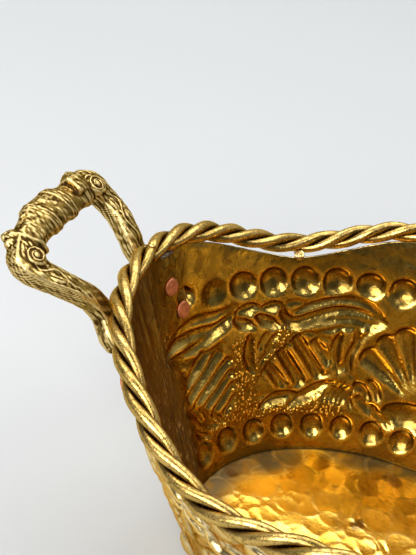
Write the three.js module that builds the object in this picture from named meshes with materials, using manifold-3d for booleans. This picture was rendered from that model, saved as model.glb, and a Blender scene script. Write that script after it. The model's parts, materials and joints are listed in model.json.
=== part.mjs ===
// Oval brass planter pot: a flared sheet wall with a waved top edge, a flat base plate, a rim of
// three-strand twisted rope and a cast handle riveted to each end.
// Millimetres, +Z up, +X along the length. The origin is on the resting face, under the middle.
import * as THREE from 'three';
import { mergeVertices } from 'three/addons/utils/BufferGeometryUtils.js';
import Module from 'manifold-3d';

// ---- driving dimensions -------------------------------------------------------------------

const GAP = 0.3; // clearance between pieces that touch

// The rim's middle line in plan, and the foot of the wall.
const RIM_A = 154;
const RIM_B = 115;
const RIM_Z = 125;
const FOOT_A = 99;
const FOOT_B = 73;

// The rim rises at both ends and at the middle of each long side, and dips at the four shoulders.
const WAVE_2 = 1.8;
const WAVE_4 = 9.6;
const WAVE_8 = -2.4;
const TROUGH_POLAR = THREE.MathUtils.degToRad(134);

// Wall sheet.
const SHEET = 1.4;
const EDGE_GAP = 0.7; // from the rope's underside down to the sheet's top edge
const AROUND = 96;
const WALL_ROWS = [0, 0.35, 0.7, 1];

// Base plate.
const PLATE = 1.6;
const PLATE_LIP = 2;

// Rope.
const ROPE_D = 11;
const STRANDS = 3;
const STRAND_R = 2.4;
const LAY_R = 3.2; // strand centre to rope centre
const TURNS = 16;
const ROPE_JOINT = 0.478; // where along the rim each rod's ends butt, just behind the left handle
const ROPE_STEPS = 112;

// Wire ties.
const WIRE_R = 0.45;
const TIE_ALONG = 2.9;
const TIE_ACROSS = 1.5;
const TIE_TURNS = 1.5;
const TIE_PITCH = 1.05;
const TIE_LIFT = 0.3; // the tie sits a little nearer the rope than the sheet
const TIE_STEPS = 16;

// Handles: the left one is described, and the right one is the same turned half round.
const RIVET_LOW = 94.5;
const RIVET_HIGH = 108.5;
const REAR_PAD_Y = 33;
const FRONT_PAD_Y = -21.5;
const RIVET_SPLAY = 2.4; // each lower rivet sits this far out from its pad's middle, each upper one in
const PAD_WIDTH = 15;
const PAD_THICK = 5.2;
const PAD_DOWN = 15;
const PAD_UP = 17;
const PAD_ROOT = 3; // how far the pad is carried into the wall before it is trimmed
const LEG_WIDTH = 10.6;
const LEG_THICK = 9;
const LEG_STEPS = 18;
const GRIP_X = -196;
const GRIP_Y = 1.5;
const GRIP_Z = 153;
const GRIP_HALF = 19;
const GRIP_TURN = -0.06; // radians about the vertical: the rear end of the grip is nearer the pot
const LEG_SKEW = 0.09; // sideways shift of the legs, per mm from the grip towards the pot
const HANDLE_TILT = THREE.MathUtils.degToRad(27);
const COLLAR_R = 10.5;
const VOLUTE_R = 6.5;
const VOLUTE_THICK = 11;
const VOLUTE_REACH = 31.5; // from the grip's middle, along its length
const VOLUTE_IN = 8;
const VOLUTE_Z = 149;

// Copper rivets.
const SHANK_R = 2.2;
const HEAD_R = 4.7;
const HEAD_THICK = 1.2;
const RIVET_SIDES = 12;

// Solder lumps, one each side of each handle.
const SOLDER_THETA = THREE.MathUtils.degToRad(163);
const SOLDER_LONG = 4.6;
const SOLDER_THICK = 1.3;
const SOLDER_TALL = 1.5;
const SOLDER_DROP = 1.2;

// ---- finishes ------------------------------------------------------------------------------

function metal(color, roughness) {
  return new THREE.MeshStandardMaterial({ color, roughness, metalness: 1 });
}

const WALL_BRASS = metal(0x9c6a1c, 0.3);
const PLATE_BRASS = metal(0xb98a3a, 0.35);
const ROPE_BRASS = metal(0xb39a55, 0.35);
const CAST_BRASS = metal(0x9a8145, 0.42);
const WIRE_BRASS = metal(0xb8964e, 0.35);
const COPPER = metal(0xa85a44, 0.5);
const SOLDER = metal(0x8a8272, 0.5);

// ---- joining and cutting -------------------------------------------------------------------

const wasm = await Module();
wasm.setup();

function welded(geometry) {
  const bare = geometry.index ? geometry.toNonIndexed() : geometry.clone();
  bare.deleteAttribute('normal');
  bare.deleteAttribute('uv');
  return mergeVertices(bare, 1e-4);
}

function solidOf(geometry) {
  const bare = welded(geometry);
  const mesh = new wasm.Mesh({
    numProp: 3,
    vertProperties: new Float32Array(bare.attributes.position.array),
    triVerts: new Uint32Array(bare.index.array),
  });
  return new wasm.Manifold(mesh);
}

function geometryOf(solid) {
  const mesh = solid.getMesh();
  const geometry = new THREE.BufferGeometry();
  geometry.setAttribute('position', new THREE.BufferAttribute(new Float32Array(mesh.vertProperties), 3));
  geometry.setIndex(new THREE.BufferAttribute(new Uint32Array(mesh.triVerts), 1));
  return geometry;
}

function placed(geometry, matrix) {
  return solidOf(geometry.clone().applyMatrix4(matrix));
}

// ---- shape of the wall ---------------------------------------------------------------------

function polarOf(theta) {
  return Math.atan2(RIM_B * Math.sin(theta), RIM_A * Math.cos(theta));
}

function thetaOf(polar) {
  return Math.atan2(RIM_A * Math.sin(polar), RIM_B * Math.cos(polar));
}

function rimHeight(theta) {
  const polar = polarOf(theta);
  const wave = WAVE_2 * Math.cos(2 * polar) + WAVE_4 * Math.cos(4 * polar) + WAVE_8 * Math.cos(8 * polar);
  return RIM_Z + wave;
}

function sheetTop(theta) {
  return rimHeight(theta) - ROPE_D / 2 - EDGE_GAP;
}

function leaning(foot, rim, z) {
  return foot + ((rim - foot) * z) / RIM_Z;
}

// A point of the wall's middle surface, moved outward by offset.
function wallPoint(theta, z, offset) {
  const a = leaning(FOOT_A, RIM_A, z);
  const b = leaning(FOOT_B, RIM_B, z);
  const outward = new THREE.Vector2(Math.cos(theta) / a, Math.sin(theta) / b).normalize();
  return new THREE.Vector3(
    a * Math.cos(theta) + outward.x * offset,
    b * Math.sin(theta) + outward.y * offset,
    z,
  );
}

// The ellipse angle of the wall point with this y at this height, on the left end.
function leftTheta(y, z) {
  return Math.PI - Math.asin(y / leaning(FOOT_B, RIM_B, z));
}

// Turns a lathe profile of (layer, row) points into a ring around the pot.
function aroundPot(profile, place) {
  const geometry = new THREE.LatheGeometry(profile, AROUND);
  geometry.rotateX(Math.PI / 2);
  const position = geometry.attributes.position;
  for (let i = 0; i < position.count; i += 1) {
    const layer = Math.hypot(position.getX(i), position.getY(i));
    const theta = Math.atan2(position.getY(i), position.getX(i));
    const point = place(theta, layer, position.getZ(i));
    position.setXYZ(i, point.x, point.y, point.z);
  }
  return geometry;
}

// ---- wall ----------------------------------------------------------------------------------

const WALL_BOTTOM = PLATE + GAP;

function rowHeight(theta, row) {
  return THREE.MathUtils.lerp(WALL_BOTTOM, sheetTop(theta), row);
}

function wallGeometry() {
  const inside = WALL_ROWS.map((row) => new THREE.Vector2(1, row));
  const outside = WALL_ROWS.map((row) => new THREE.Vector2(2, row));
  const profile = [...outside, ...inside.reverse(), outside[0]];
  return aroundPot(profile, (theta, layer, row) => {
    const side = layer > 1.5 ? 1 : -1;
    return wallPoint(theta, rowHeight(theta, row), (side * SHEET) / 2);
  });
}

// A filled plug a little larger than the pot, which trims the handle pads to the wall.
function plugGeometry() {
  const skin = WALL_ROWS.map((row) => new THREE.Vector2(1, row));
  const profile = [new THREE.Vector2(0, 0), ...skin, new THREE.Vector2(0, 1)];
  return aroundPot(profile, (theta, layer, row) => {
    if (layer < 0.5) {
      return new THREE.Vector3(0, 0, rowHeight(0, row));
    }
    return wallPoint(theta, rowHeight(theta, row), SHEET / 2 + GAP);
  });
}

// ---- base plate ----------------------------------------------------------------------------

function plateGeometry() {
  const outline = new THREE.Shape();
  outline.absellipse(0, 0, FOOT_A + PLATE_LIP, FOOT_B + PLATE_LIP, 0, 2 * Math.PI);
  return new THREE.ExtrudeGeometry(outline, {
    depth: PLATE,
    bevelEnabled: false,
    curveSegments: AROUND,
  });
}

// ---- rope rim ------------------------------------------------------------------------------

class Rim extends THREE.Curve {
  getPoint(t, target = new THREE.Vector3()) {
    const theta = 2 * Math.PI * t;
    return target.set(RIM_A * Math.cos(theta), RIM_B * Math.sin(theta), rimHeight(theta));
  }
}

const rim = new Rim();
rim.arcLengthDivisions = 1440;

class Strand extends THREE.Curve {
  constructor(index) {
    super();
    this.phase = (2 * Math.PI * index) / STRANDS;
    this.arcLengthDivisions = 2000;
    this.spare = GAP / rim.getLength();
  }

  getPoint(t, target = new THREE.Vector3()) {
    const u = (ROPE_JOINT + this.spare / 2 + t * (1 - this.spare)) % 1;
    const centre = rim.getPointAt(u);
    const along = rim.getTangentAt(u);
    const up = new THREE.Vector3(0, 0, 1);
    const outward = new THREE.Vector3().crossVectors(along, up).normalize();
    const over = new THREE.Vector3().crossVectors(along, outward);
    const turn = this.phase - 2 * Math.PI * TURNS * u;
    return target
      .copy(centre)
      .addScaledVector(outward, LAY_R * Math.cos(turn))
      .addScaledVector(over, LAY_R * Math.sin(turn));
  }
}

function roundSection(radius, sides) {
  const corners = [];
  for (let i = 0; i < sides; i += 1) {
    const angle = (2 * Math.PI * i) / sides;
    corners.push(new THREE.Vector2(radius * Math.cos(angle), radius * Math.sin(angle)));
  }
  return new THREE.Shape(corners);
}

function strandGeometry(index) {
  return new THREE.ExtrudeGeometry(roundSection(STRAND_R, 7), {
    steps: ROPE_STEPS,
    extrudePath: new Strand(index),
  });
}

// ---- wire ties -----------------------------------------------------------------------------

class Coil extends THREE.Curve {
  getPoint(t, target = new THREE.Vector3()) {
    const angle = 2 * Math.PI * TIE_TURNS * t;
    return target.set(
      TIE_ALONG * Math.cos(angle),
      TIE_ACROSS * Math.sin(angle),
      TIE_PITCH * TIE_TURNS * (t - 0.5),
    );
  }
}

function tieGeometry() {
  return new THREE.ExtrudeGeometry(roundSection(WIRE_R, 6), {
    steps: TIE_STEPS,
    extrudePath: new Coil(),
  });
}

// ---- handles -------------------------------------------------------------------------------

// Where a leg's pad lies: its middle on the wall, and the directions across, up and out of it.
function padFrame(y) {
  const z = (RIVET_LOW + RIVET_HIGH) / 2;
  const theta = leftTheta(y, z);
  const middle = wallPoint(theta, z, SHEET / 2);
  const reach = 8;
  const up = wallPoint(theta, z + reach, SHEET / 2).sub(wallPoint(theta, z - reach, SHEET / 2)).normalize();
  const turn = 0.05;
  const across = wallPoint(theta + turn, z, SHEET / 2).sub(wallPoint(theta - turn, z, SHEET / 2)).normalize();
  const out = new THREE.Vector3().crossVectors(across, up).normalize();
  across.crossVectors(up, out);
  return { middle, across, up, out };
}

function lifted(frame, alongUp, alongOut) {
  return frame.middle.clone().addScaledVector(frame.up, alongUp).addScaledVector(frame.out, alongOut);
}

function frameMatrix(frame, alongAcross, alongUp, alongOut) {
  const origin = lifted(frame, alongUp, alongOut).addScaledVector(frame.across, alongAcross);
  return new THREE.Matrix4().makeBasis(frame.across, frame.up, frame.out).setPosition(origin);
}

// A shield-shaped pad: round at the foot and drawn in towards the leg.
function padGeometry() {
  const half = PAD_WIDTH / 2;
  const outline = new THREE.Shape();
  outline.moveTo(-half, -PAD_DOWN + half);
  outline.absarc(0, -PAD_DOWN + half, half, Math.PI, 2 * Math.PI);
  outline.lineTo(half, PAD_UP - half);
  outline.lineTo(LEG_WIDTH / 2, PAD_UP);
  outline.lineTo(-LEG_WIDTH / 2, PAD_UP);
  outline.lineTo(-half, PAD_UP - half);
  outline.closePath();
  return new THREE.ExtrudeGeometry(outline, {
    depth: PAD_THICK + PAD_ROOT,
    bevelEnabled: false,
    curveSegments: 6,
  });
}

// A point of a leg, given by its distance from the handle's middle line.
function legPoint(x, half, z) {
  return new THREE.Vector3(x, GRIP_Y + LEG_SKEW * (x - GRIP_X) + half, z);
}

// A point given in the grip's own directions: towards the pot, along the grip, and a height.
function gripPoint(inward, along, z) {
  const turned = new THREE.Vector3(inward, along, z).applyAxisAngle(new THREE.Vector3(0, 0, 1), GRIP_TURN);
  return turned.add(new THREE.Vector3(GRIP_X, GRIP_Y, 0));
}

function legPath(frame, side) {
  return new THREE.CatmullRomCurve3([
    lifted(frame, 12, 1),
    lifted(frame, 18, 4.4),
    legPoint(-158.5, side * 24.5, 123),
    legPoint(-165, side * 26.1, 131.5),
    legPoint(-171.5, side * 30, 137.5),
    legPoint(-180, side * 33.5, 143),
    gripPoint(8, side * 34, 147),
    gripPoint(3, side * 31, 150),
    gripPoint(0, side * 24, GRIP_Z),
  ]);
}

// The leg's section: an oblong with its corners taken off.
function legSection() {
  const w = LEG_WIDTH / 2;
  const t = LEG_THICK / 2;
  const cut = 2;
  return new THREE.Shape([
    new THREE.Vector2(t, -w + cut),
    new THREE.Vector2(t, w - cut),
    new THREE.Vector2(t - cut, w),
    new THREE.Vector2(-t + cut, w),
    new THREE.Vector2(-t, w - cut),
    new THREE.Vector2(-t, -w + cut),
    new THREE.Vector2(-t + cut, -w),
    new THREE.Vector2(t - cut, -w),
  ]);
}

// The grip is turned about Y: a barrel with two pairs of rings, between stepped collars.
function gripGeometry() {
  const half = [
    [0, 9],
    [3.5, 9],
    [4.5, 9.6],
    [6, 9.6],
    [7, 8.6],
    [12, 8.2],
    [13, 8.9],
    [14.5, 8.9],
    [15.5, 7.8],
    [GRIP_HALF, 7.8],
    [GRIP_HALF + 1, COLLAR_R],
    [GRIP_HALF + 4.5, COLLAR_R],
    [GRIP_HALF + 7, 6],
  ];
  const right = half.map(([along, radius]) => new THREE.Vector2(radius, along));
  const left = half.slice(1).reverse().map(([along, radius]) => new THREE.Vector2(radius, -along));
  const reach = half[half.length - 1][0];
  const profile = [new THREE.Vector2(0, -reach), ...left, ...right, new THREE.Vector2(0, reach)];
  return new THREE.LatheGeometry(profile, 14);
}

function voluteGeometry() {
  const disc = new THREE.CylinderGeometry(VOLUTE_R, VOLUTE_R, VOLUTE_THICK, 14);
  disc.rotateX(Math.PI / 2);
  return disc;
}

const PAD_FRAMES = { rear: padFrame(REAR_PAD_Y), front: padFrame(FRONT_PAD_Y) };
const RIVET_RISE = (RIVET_HIGH - RIVET_LOW) / 2 / PAD_FRAMES.rear.up.z;
const LEVELS = { lower: -1, upper: 1 };
const SIDES = { rear: 1, front: -1 };

function rivetMatrix(name, level) {
  const aside = SIDES[name] * LEVELS[level] * RIVET_SPLAY;
  return frameMatrix(PAD_FRAMES[name], aside, LEVELS[level] * RIVET_RISE, 0);
}

// A plain pin along a pad's outward direction, used to drill the rivet holes and to face their seats.
function pinGeometry(radius, from, to) {
  const pin = new THREE.CylinderGeometry(radius, radius, to - from, RIVET_SIDES);
  pin.rotateX(Math.PI / 2);
  return pin.translate(0, 0, (from + to) / 2);
}

function atEachRivet(geometry) {
  const list = [];
  for (const name of Object.keys(SIDES)) {
    for (const level of Object.keys(LEVELS)) {
      list.push(placed(geometry, rivetMatrix(name, level)));
    }
  }
  return list;
}

const DRILL_REACH = 20;
const drills = atEachRivet(pinGeometry(SHANK_R + GAP, -DRILL_REACH, DRILL_REACH));
const seats = atEachRivet(pinGeometry(HEAD_R + GAP, PAD_THICK, DRILL_REACH));

function handleGeometry() {
  const turn = new THREE.Matrix4().makeRotationZ(GRIP_TURN);
  let body = placed(gripGeometry(), turn.clone().setPosition(gripPoint(0, 0, GRIP_Z)));
  for (const [name, side] of Object.entries(SIDES)) {
    const frame = PAD_FRAMES[name];
    body = body.add(placed(padGeometry(), frameMatrix(frame, 0, 0, -PAD_ROOT)));
    const leg = new THREE.ExtrudeGeometry(legSection(), {
      steps: LEG_STEPS,
      extrudePath: legPath(frame, side),
    });
    body = body.add(solidOf(leg));
    const tilt = new THREE.Matrix4().makeRotationY(HANDLE_TILT).premultiply(turn);
    tilt.setPosition(gripPoint(VOLUTE_IN, side * VOLUTE_REACH, VOLUTE_Z));
    body = body.add(placed(voluteGeometry(), tilt));
  }
  body = body.subtract(solidOf(plugGeometry()));
  for (const cutter of [...drills, ...seats]) {
    body = body.subtract(cutter);
  }
  return geometryOf(body);
}

// ---- rivets --------------------------------------------------------------------------------

// Flat head inside the pot, shank through sheet and pad, flat head outside.
function rivetGeometry() {
  const inner = -SHEET - GAP;
  const outer = PAD_THICK + GAP;
  return new THREE.LatheGeometry(
    [
      new THREE.Vector2(0, inner - HEAD_THICK),
      new THREE.Vector2(HEAD_R - 0.4, inner - HEAD_THICK),
      new THREE.Vector2(HEAD_R, inner - HEAD_THICK + 0.4),
      new THREE.Vector2(HEAD_R, inner - 0.15),
      new THREE.Vector2(SHANK_R, inner - 0.15),
      new THREE.Vector2(SHANK_R, outer),
      new THREE.Vector2(HEAD_R, outer),
      new THREE.Vector2(HEAD_R, outer + HEAD_THICK - 0.4),
      new THREE.Vector2(HEAD_R - 0.4, outer + HEAD_THICK),
      new THREE.Vector2(0, outer + HEAD_THICK),
    ],
    RIVET_SIDES,
  ).rotateX(Math.PI / 2);
}

// ---- solder --------------------------------------------------------------------------------

// A lump that fills the corner between rope and sheet, on the inside of the rim.
function solderGeometry() {
  const lump = new THREE.SphereGeometry(1, 8, 6);
  lump.scale(SOLDER_LONG, SOLDER_THICK, SOLDER_TALL);
  return lump;
}

// ---- the pot -------------------------------------------------------------------------------

const pot = new THREE.Group();

function addPiece(parent, name, geometry, material) {
  const mesh = new THREE.Mesh(geometry, material);
  mesh.name = name;
  parent.add(mesh);
  return mesh;
}

let wall = solidOf(wallGeometry());
for (const drill of drills) {
  wall = wall.subtract(drill).subtract(drill.rotate([0, 0, 180]));
}
addPiece(pot, 'wall', geometryOf(wall), WALL_BRASS);
addPiece(pot, 'base_plate', plateGeometry(), PLATE_BRASS);

for (let i = 0; i < STRANDS; i += 1) {
  addPiece(pot, `rim_strand_${i + 1}`, strandGeometry(i), ROPE_BRASS);
}

const SHOULDERS = {
  left_rear: TROUGH_POLAR,
  right_rear: Math.PI - TROUGH_POLAR,
  right_front: TROUGH_POLAR - Math.PI,
  left_front: -TROUGH_POLAR,
};
for (const [name, polar] of Object.entries(SHOULDERS)) {
  const theta = thetaOf(polar);
  const edge = wallPoint(theta, sheetTop(theta), 0);
  const centre = new THREE.Vector3(RIM_A * Math.cos(theta), RIM_B * Math.sin(theta), rimHeight(theta));
  const up = centre.clone().sub(edge);
  const middle = edge.addScaledVector(up, 0.5 - (ROPE_D / 4 - TIE_LIFT) / up.length());
  up.normalize();
  const along = new THREE.Vector3(-RIM_A * Math.sin(theta), RIM_B * Math.cos(theta), 0);
  const across = new THREE.Vector3().crossVectors(up, along).normalize();
  along.crossVectors(across, up);
  const tie = addPiece(pot, `rim_tie_${name}`, tieGeometry(), WIRE_BRASS);
  tie.applyMatrix4(new THREE.Matrix4().makeBasis(along, across, up).setPosition(middle));
}

const ENDS = { left: 0, right: Math.PI };
for (const [end, turn] of Object.entries(ENDS)) {
  const side = new THREE.Group();
  side.rotation.z = turn;
  pot.add(side);
  addPiece(side, `handle_${end}`, handleGeometry(), CAST_BRASS);
  for (const [name, sign] of Object.entries(SIDES)) {
    for (const level of Object.keys(LEVELS)) {
      const rivet = addPiece(side, `rivet_${end}_${name}_${level}`, rivetGeometry(), COPPER);
      rivet.applyMatrix4(rivetMatrix(name, level));
    }
    const theta = sign * SOLDER_THETA;
    const seat = wallPoint(theta, sheetTop(theta) - SOLDER_DROP, -SHEET / 2 - GAP - SOLDER_THICK);
    const lump = addPiece(side, `rim_solder_${end}_${name}`, solderGeometry(), SOLDER);
    lump.position.copy(seat);
    lump.rotation.z = Math.atan2(RIM_B * Math.cos(theta), -RIM_A * Math.sin(theta));
  }
}

export default pot;
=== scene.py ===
import json
import math

import bmesh
import bpy
import numpy as np
from mathutils import Matrix, Vector

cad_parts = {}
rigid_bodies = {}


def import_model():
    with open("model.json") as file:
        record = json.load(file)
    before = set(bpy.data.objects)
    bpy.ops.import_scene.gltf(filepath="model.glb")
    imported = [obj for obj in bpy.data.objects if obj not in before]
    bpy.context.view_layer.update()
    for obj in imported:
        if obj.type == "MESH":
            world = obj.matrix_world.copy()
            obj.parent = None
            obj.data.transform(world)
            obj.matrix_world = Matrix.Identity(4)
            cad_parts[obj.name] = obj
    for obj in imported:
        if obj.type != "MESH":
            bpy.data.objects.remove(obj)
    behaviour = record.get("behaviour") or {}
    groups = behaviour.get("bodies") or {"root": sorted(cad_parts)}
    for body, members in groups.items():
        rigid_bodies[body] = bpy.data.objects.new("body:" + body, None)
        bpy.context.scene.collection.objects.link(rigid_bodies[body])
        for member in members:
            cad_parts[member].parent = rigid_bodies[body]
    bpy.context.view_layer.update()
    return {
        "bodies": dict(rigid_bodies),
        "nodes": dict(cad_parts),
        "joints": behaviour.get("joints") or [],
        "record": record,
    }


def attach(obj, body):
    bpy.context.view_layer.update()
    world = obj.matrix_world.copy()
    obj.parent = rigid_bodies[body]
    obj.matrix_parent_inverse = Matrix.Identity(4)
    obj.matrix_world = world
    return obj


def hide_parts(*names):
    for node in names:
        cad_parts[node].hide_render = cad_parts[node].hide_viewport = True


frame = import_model()

# Oval brass planter pot. Shapes are worked out in millimetres and scaled to metres as meshes.
MM = 0.001

# ---- the pot's main dimensions, in mm ----

RIM_A, RIM_B, RIM_Z = 154.0, 115.0, 125.0  # the rope's middle line: half axes and mean height
FOOT_A, FOOT_B = 99.0, 73.0  # the wall's half axes at the floor
WAVE_2, WAVE_4, WAVE_8 = 1.8, 9.6, -2.4  # the rim's waves, by how many go round it
TROUGH_POLAR = math.radians(134)  # where the rim dips, and by symmetry at three more places
SHEET, DISPLAY_SHEET = 1.4, 1.1  # the wall's thickness in the CAD, and as shown here
EDGE_GAP = 0.7  # between the sheet's edge and the rope
DIP_RISE, DIP_FROM, DIP_FULL = 1.2, 124, 114  # the sheet stands higher where the rim is low
PLATE, PLATE_LIP = 1.6, 2.0  # the base plate's thickness, and how far it stands out past the wall
GAP = 0.3  # between pieces that touch in the real pot
ROPE_D = 11.0
TURNS = 16  # of the strands, over the whole rim
ROPE_JOINT = 0.478  # where the strands' ends meet, as a share of the rim's length
REAR_PAD_Y, FRONT_PAD_Y = 33.0, -21.5
RIVET_SPLAY = 2.4  # how far a rivet stands aside from its pad's middle line
RIVET_LOW, RIVET_HIGH = 94.5, 108.5
PAD_THICK = 5.2


# ---- shape of the wall ----

def polar_of(theta):
    return np.arctan2(RIM_B * np.sin(theta), RIM_A * np.cos(theta))


def theta_of(polar):
    return math.atan2(RIM_A * math.sin(polar), RIM_B * math.cos(polar))


def rim_height(theta):
    polar = polar_of(theta)
    waves = ((2, WAVE_2), (4, WAVE_4), (8, WAVE_8))
    return RIM_Z + sum(high * np.cos(count * polar) for count, high in waves)


def sheet_top(theta):
    dip = smoothstep(rim_height(theta), DIP_FROM, DIP_FULL)
    return rim_height(theta) - ROPE_D / 2 - EDGE_GAP + DIP_RISE * dip


def smoothstep(x, low, high):
    t = np.clip((x - low) / (high - low), 0, 1)
    return t * t * (3 - 2 * t)


def between(x, start, full, fade, end):
    return smoothstep(x, start, full) * smoothstep(x, end, fade)


def peak(x, middle, width):
    return np.exp(-(((x - middle) / width) ** 2))


def unit(v):
    v = np.asarray(v, float)
    return v / np.linalg.norm(v, axis=-1, keepdims=True)


def leaning(foot, rim, z):
    return foot + (rim - foot) * z / RIM_Z


def wall_point(theta, z, offset):
    a = leaning(FOOT_A, RIM_A, z)
    b = leaning(FOOT_B, RIM_B, z)
    nx, ny = np.cos(theta) / a, np.sin(theta) / b
    size = np.hypot(nx, ny)
    x = a * np.cos(theta) + offset * nx / size
    y = b * np.sin(theta) + offset * ny / size
    return np.stack([x, y, z + 0 * x], -1)


def length_along(points):
    """The length from a curve's first point to each of its points."""
    return np.concatenate([[0], np.cumsum(np.linalg.norm(np.diff(points, axis=0), axis=1))])


WALL_THETA = np.linspace(0, 2 * math.pi, 7201)
WALL_LENGTH = length_along(wall_point(WALL_THETA, RIM_Z / 2, 0.0))
PERIMETER = WALL_LENGTH[-1]
REAR_MIDDLE = float(np.interp(math.pi / 2, WALL_THETA, WALL_LENGTH))


def theta_at(s):
    """Angle at s mm along the wall at mid height, from the middle of the rear side towards +X."""
    return np.interp((REAR_MIDDLE - s) % PERIMETER, WALL_LENGTH, WALL_THETA)


# ---- small tools ----

def noise2(x, y, seed, wrap=None):
    """Smooth noise from -1 to 1 on a unit lattice; wrap makes it repeat along x."""
    lattice = np.random.default_rng(seed).uniform(-1, 1, (256, 256))
    xi, yi = np.floor(x).astype(int), np.floor(y).astype(int)
    fx, fy = x - xi, y - yi
    fx, fy = fx * fx * (3 - 2 * fx), fy * fy * (3 - 2 * fy)
    period = wrap or 256
    x0, x1 = xi % period, (xi + 1) % period
    y0, y1 = yi % 256, (yi + 1) % 256
    low = lattice[x0, y0] * (1 - fx) + lattice[x1, y0] * fx
    high = lattice[x0, y1] * (1 - fx) + lattice[x1, y1] * fx
    return low * (1 - fy) + high * fy


def softened(h, passes):
    """Blurs a grid that closes on itself along its first axis."""
    for _ in range(passes):
        h = (h * 2 + (np.roll(h, 1, 0) + np.roll(h, -1, 0))) / 4
        padded = np.concatenate([h[:, :1], h, h[:, -1:]], 1)
        h = (h * 2 + padded[:, :-2] + padded[:, 2:]) / 4
    return h


def spline(points, count=28):
    """A smooth curve through the points, as count + 1 samples."""
    p = np.asarray(points, float)
    if len(p) == 2:
        t = np.linspace(0, 1, count + 1)[:, None]
        return p[0] * (1 - t) + p[1] * t
    p = np.concatenate([2 * p[:1] - p[1:2], p, 2 * p[-1:] - p[-2:-1]])
    u = np.linspace(0, len(p) - 3 - 1e-9, count + 1)
    i = u.astype(int)
    t = (u - i)[:, None]
    a, b, c, d = p[i], p[i + 1], p[i + 2], p[i + 3]
    bend, twist = 2 * a - 5 * b + 4 * c - d, 3 * b - a - 3 * c + d
    return 0.5 * (2 * b + (c - a) * t + bend * t * t + twist * t**3)


def mesh_of(name, points, groups):
    """A smooth mesh from points in mm and groups of faces, each an (n, k) array of point numbers."""
    mesh = bpy.data.meshes.new(name)
    points = np.asarray(points, float).reshape(-1, 3) * MM
    corners = np.concatenate([g.ravel() for g in groups])
    sizes = np.concatenate([np.full(len(g), g.shape[1]) for g in groups])
    starts = np.concatenate([[0], np.cumsum(sizes)[:-1]])
    mesh.vertices.add(len(points))
    mesh.vertices.foreach_set("co", points.astype(np.float32).ravel())
    mesh.loops.add(len(corners))
    mesh.loops.foreach_set("vertex_index", corners.astype(np.int32))
    mesh.polygons.add(len(sizes))
    mesh.polygons.foreach_set("loop_start", starts.astype(np.int32))
    mesh.update(calc_edges=True)
    mesh.validate()
    mesh.polygons.foreach_set("use_smooth", np.ones(len(mesh.polygons), bool))
    return mesh


def grid_faces(rows, columns, wrap_rows=False, wrap_columns=False):
    """Quads of a rows x columns grid of points, facing along (row step) x (column step)."""
    r = np.arange(rows if wrap_rows else rows - 1)
    c = np.arange(columns if wrap_columns else columns - 1)
    r, c = np.meshgrid(r, c, indexing="ij")
    r1, c1 = (r + 1) % rows, (c + 1) % columns
    quads = np.stack([r * columns + c, r1 * columns + c, r1 * columns + c1, r * columns + c1], -1)
    return quads.reshape(-1, 4)


def closed_skin(rings, ends=None):
    """Points and faces of a skin over a stack of rings, closed at each end by a fan of triangles."""
    rings = np.asarray(rings, float)
    rows, sides = rings.shape[:2]
    if ends is None:
        ends = [rings[0].mean(0), rings[-1].mean(0)]
    i = np.arange(sides)
    j = (i + 1) % sides
    centre, last = rows * sides, (rows - 1) * sides
    fans = [np.stack([np.full_like(i, centre), i, j], -1),
            np.stack([np.full_like(i, centre + 1), last + j, last + i], -1)]
    return np.concatenate([rings.reshape(-1, 3), ends]), [grid_faces(rows, sides, wrap_columns=True), *fans]


def circle(sides):
    """Cosines and sines of evenly spaced angles."""
    angle = 2 * np.pi * np.arange(sides) / sides
    return np.cos(angle), np.sin(angle)


def half_turned(points):
    return points * np.array([-1, -1, 1])


def attribute(mesh, name, values):
    layer = mesh.attributes.new(name, "FLOAT", "POINT")
    layer.data.foreach_set("value", np.asarray(values, np.float32).ravel())


def face_outward(mesh):
    """Turns every face of a closed mesh to look out of it."""
    skin = bmesh.new()
    skin.from_mesh(mesh)
    bmesh.ops.recalc_face_normals(skin, faces=skin.faces)
    skin.to_mesh(mesh)
    skin.free()


def placed(name, data):
    """A new object in the scene."""
    thing = bpy.data.objects.new(name, data)
    bpy.context.scene.collection.objects.link(thing)
    return thing


def add_piece(mesh, material, node):
    face_outward(mesh)
    piece = placed(mesh.name, mesh)
    mesh.materials.clear()
    mesh.materials.append(material)
    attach(piece, "root")
    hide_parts(node)


# ---- materials ----

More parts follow.
